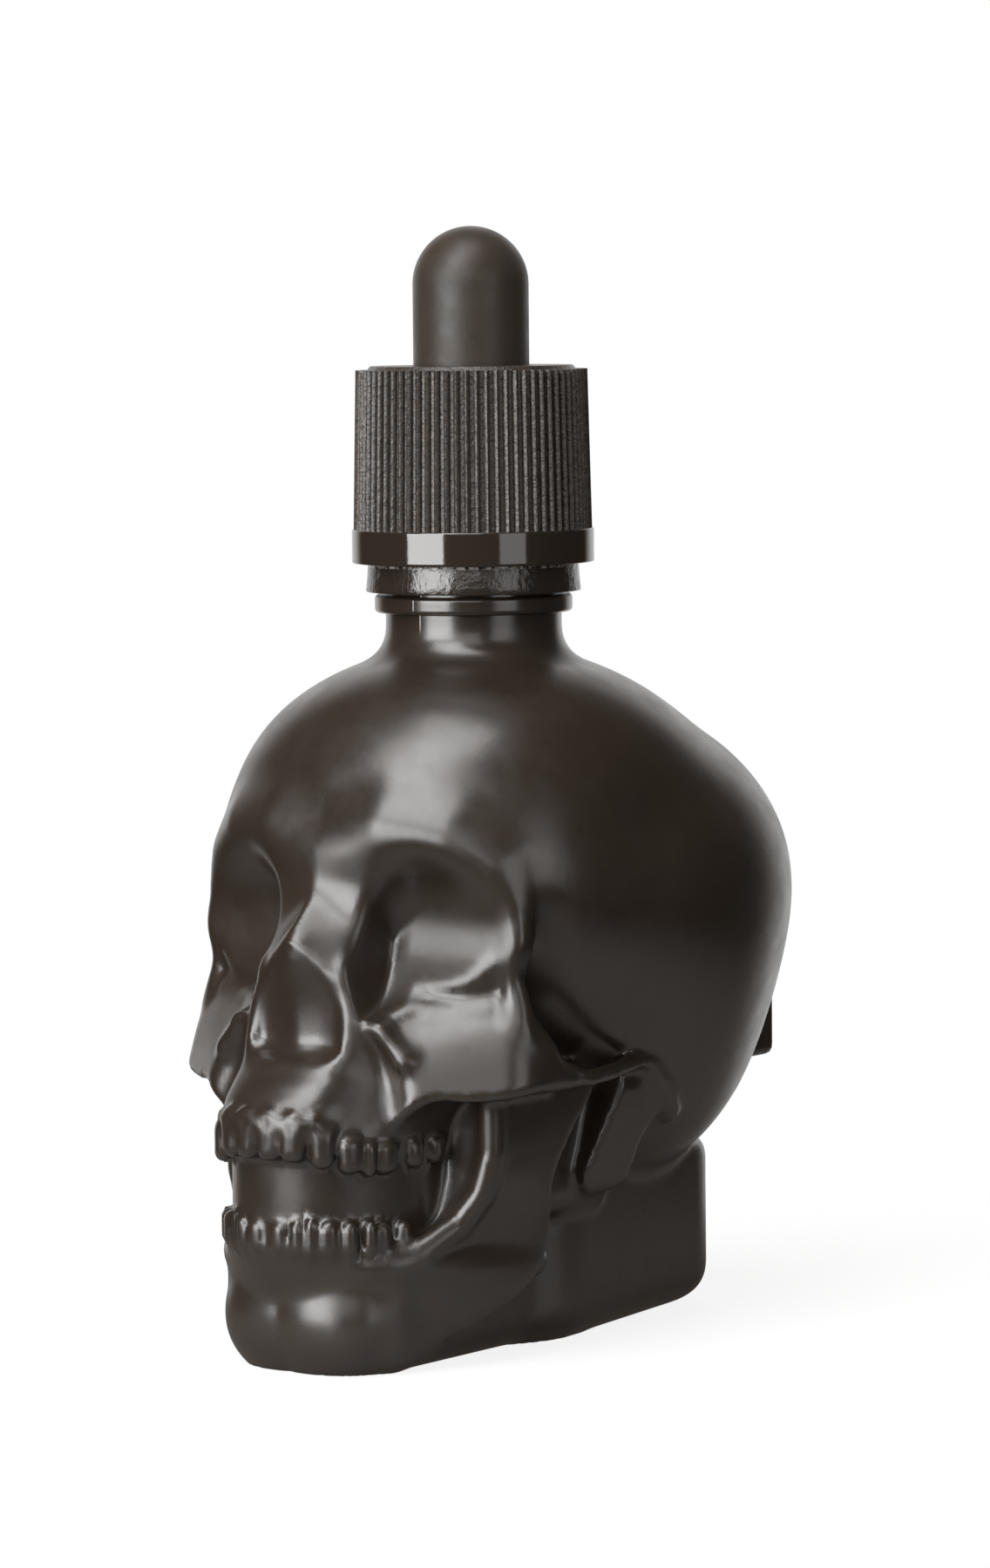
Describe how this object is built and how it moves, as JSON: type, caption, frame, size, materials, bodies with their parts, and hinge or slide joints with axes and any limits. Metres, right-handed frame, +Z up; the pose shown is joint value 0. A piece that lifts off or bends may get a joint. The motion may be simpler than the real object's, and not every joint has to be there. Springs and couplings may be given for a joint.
{
  "type": "dropper bottle",
  "caption": "Skull-shaped glass bottle with a child-resistant ribbed dropper cap, rubber bulb and glass pipette.",
  "frame": {"origin": "where the neck's axis meets the flat base that the bottle stands on", "axes": "+Z up along the neck's axis; the skull looks along -Y; +X is to the skull's left"},
  "size_m": [0.0534, 0.0749, 0.112],
  "materials": {
    "coated_glass": "opaque dark brown-black satin coating",
    "ring_plastic": "satin black-brown moulding",
    "cap_plastic": "satin black-brown moulding",
    "shell_plastic": "fine matte texture on the ribs, smooth band below",
    "bulb_rubber": "matte black-brown rubber",
    "clear_glass": "clear glass"
  },
  "bodies": {
    "glass": {"bottle": "coated_glass"},
    "ring": {"tamper_ring": "ring_plastic"},
    "tube": {"pipette": "clear_glass"},
    "teat": {"bulb": "bulb_rubber"},
    "screw_cap": {"inner_cap": "cap_plastic"},
    "shell": {"outer_shell": "shell_plastic"}
  },
  "joints": [
    {"name": "ring_spin", "type": "hinge", "parent": "glass", "child": "ring", "pos_m": [0, 0, 0.0765], "axis": [0, 0, 1], "continuous": true},
    {"name": "dropper_lift", "type": "slide", "parent": "glass", "child": "tube", "axis": [0, 0, 1], "range_m": [0, 0.09]},
    {"name": "cap_rise", "type": "slide", "parent": "tube", "child": "teat", "axis": [0, 0, 1], "range_m": [0, 0.00375]},
    {"name": "cap_turn", "type": "hinge", "parent": "teat", "child": "screw_cap", "pos_m": [0, 0, 0.085], "axis": [0, 0, 1], "range_deg": [0, 450]},
    {"name": "shell_press", "type": "slide", "parent": "screw_cap", "child": "shell", "axis": [0, 0, -1], "range_m": [0, 0.001], "stiffness_N_per_m": 1000}
  ],
  "couplings": [
    {"joint": "cap_turn", "follows": "cap_rise", "rad_per_m": 2094.4}
  ]
}
